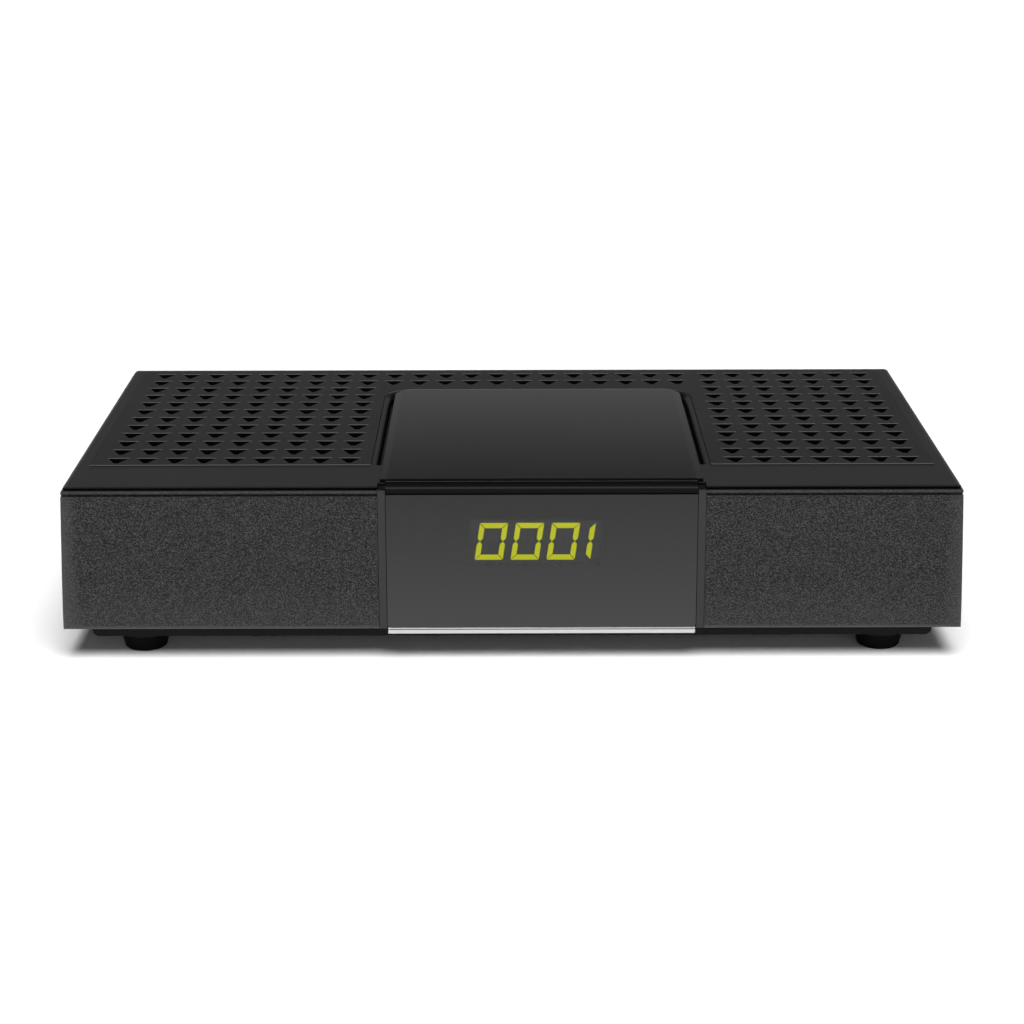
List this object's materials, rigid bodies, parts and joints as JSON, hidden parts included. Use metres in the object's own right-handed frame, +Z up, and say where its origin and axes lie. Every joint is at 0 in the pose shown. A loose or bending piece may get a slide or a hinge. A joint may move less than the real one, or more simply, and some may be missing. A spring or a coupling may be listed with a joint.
{
  "type": "satellite television receiver",
  "caption": "Flat set-top receiver with a triangular vent grille, a gloss lid, a smoked drop-over front flap, four-digit display and rear sockets.",
  "frame": {"origin": "on the floor under the middle of the whole receiver's box, rear sockets included", "axes": "+X to the right as seen from the front, +Y to the back, +Z up; the front faces -Y"},
  "size_m": [0.22, 0.13, 0.0452],
  "materials": {
    "housing": "satin moulded ABS, black",
    "grille": "satin moulded ABS, black",
    "base": "matte moulded ABS, black",
    "grained_panel": "grained moulded ABS, black",
    "satin_trim": "smooth satin plastic, black",
    "gloss_black": "polished black plastic",
    "smoked_window": "smoked translucent polycarbonate",
    "silver_bar": "silver paint on plastic",
    "inner_black": "matte black plastic",
    "lit_digit": "lit diffuser, yellow-green",
    "sensor": "dark filter resin",
    "key": "satin black plastic",
    "tinned_steel": "tin-plated steel",
    "circuit_board": "green solder resist on glass-epoxy board",
    "header": "natural nylon",
    "brass_thread": "nickel-plated brass",
    "socket_black": "glass-filled nylon, black",
    "phono_white": "moulded plastic, white",
    "phono_red": "moulded plastic, red",
    "phono_yellow": "moulded plastic, yellow",
    "rear_plate": "black powder-coated steel",
    "chip": "moulded epoxy",
    "heat_sink": "extruded aluminium",
    "capacitor": "shrink sleeve, dark blue",
    "dark_screw": "blackened steel",
    "rubber": "moulded rubber, black"
  },
  "bodies": {
    "receiver": {"top_cover": "housing", "vent_grille": "grille", "base_shell": "base", "front_panel": "grained_panel", "saddle_trim": "satin_trim", "gloss_lid": "gloss_black", "inner_fascia": "inner_black", "display_module": "inner_black", "display_digits": "lit_digit", "remote_sensor": "sensor", "key_switches": "tinned_steel", "front_board": "circuit_board", "board_header": "header", "main_board": "circuit_board", "tuner_can": "tinned_steel", "antenna_input": "brass_thread", "antenna_loop": "brass_thread", "scart_socket": "socket_black", "hdmi_socket": "tinned_steel", "phono_left": "phono_white", "phono_right": "phono_red", "phono_video": "phono_yellow", "phono_sleeves": "tinned_steel", "dc_jack": "socket_black", "power_switch_frame": "socket_black", "rear_panel": "rear_plate", "decoder_chip": "chip", "heat_sink": "heat_sink", "memory_chips": "chip", "crystal": "tinned_steel", "capacitors": "capacitor", "inductors": "chip", "regulators": "chip", "board_screws": "tinned_steel", "case_screws": "dark_screw", "foot_front_left": "rubber", "foot_front_right": "rubber", "foot_rear_left": "rubber", "foot_rear_right": "rubber"},
    "front_flap": {"flap_roll": "gloss_black", "flap_window": "smoked_window", "flap_bar": "silver_bar"},
    "standby_key": {"key_standby": "key"},
    "channel_down_key": {"key_channel_down": "key"},
    "channel_up_key": {"key_channel_up": "key"},
    "rocker": {"power_rocker": "key"}
  },
  "joints": [
    {"name": "flap_hinge", "type": "hinge", "parent": "receiver", "child": "front_flap", "pos_m": [0.0072, -0.0632, 0.0434], "axis": [-1, 0, 0], "range_deg": [0, 95]},
    {"name": "standby_press", "type": "slide", "parent": "receiver", "child": "standby_key", "axis": [0, 1, 0], "range_m": [0, 0.0005], "stiffness_N_per_m": 400},
    {"name": "channel_down_press", "type": "slide", "parent": "receiver", "child": "channel_down_key", "axis": [0, 1, 0], "range_m": [0, 0.0005], "stiffness_N_per_m": 400},
    {"name": "channel_up_press", "type": "slide", "parent": "receiver", "child": "channel_up_key", "axis": [0, 1, 0], "range_m": [0, 0.0005], "stiffness_N_per_m": 400},
    {"name": "power_rock", "type": "hinge", "parent": "receiver", "child": "rocker", "pos_m": [0.097, 0.0534, 0.024], "axis": [1, 0, 0], "range_deg": [0, 20]}
  ]
}
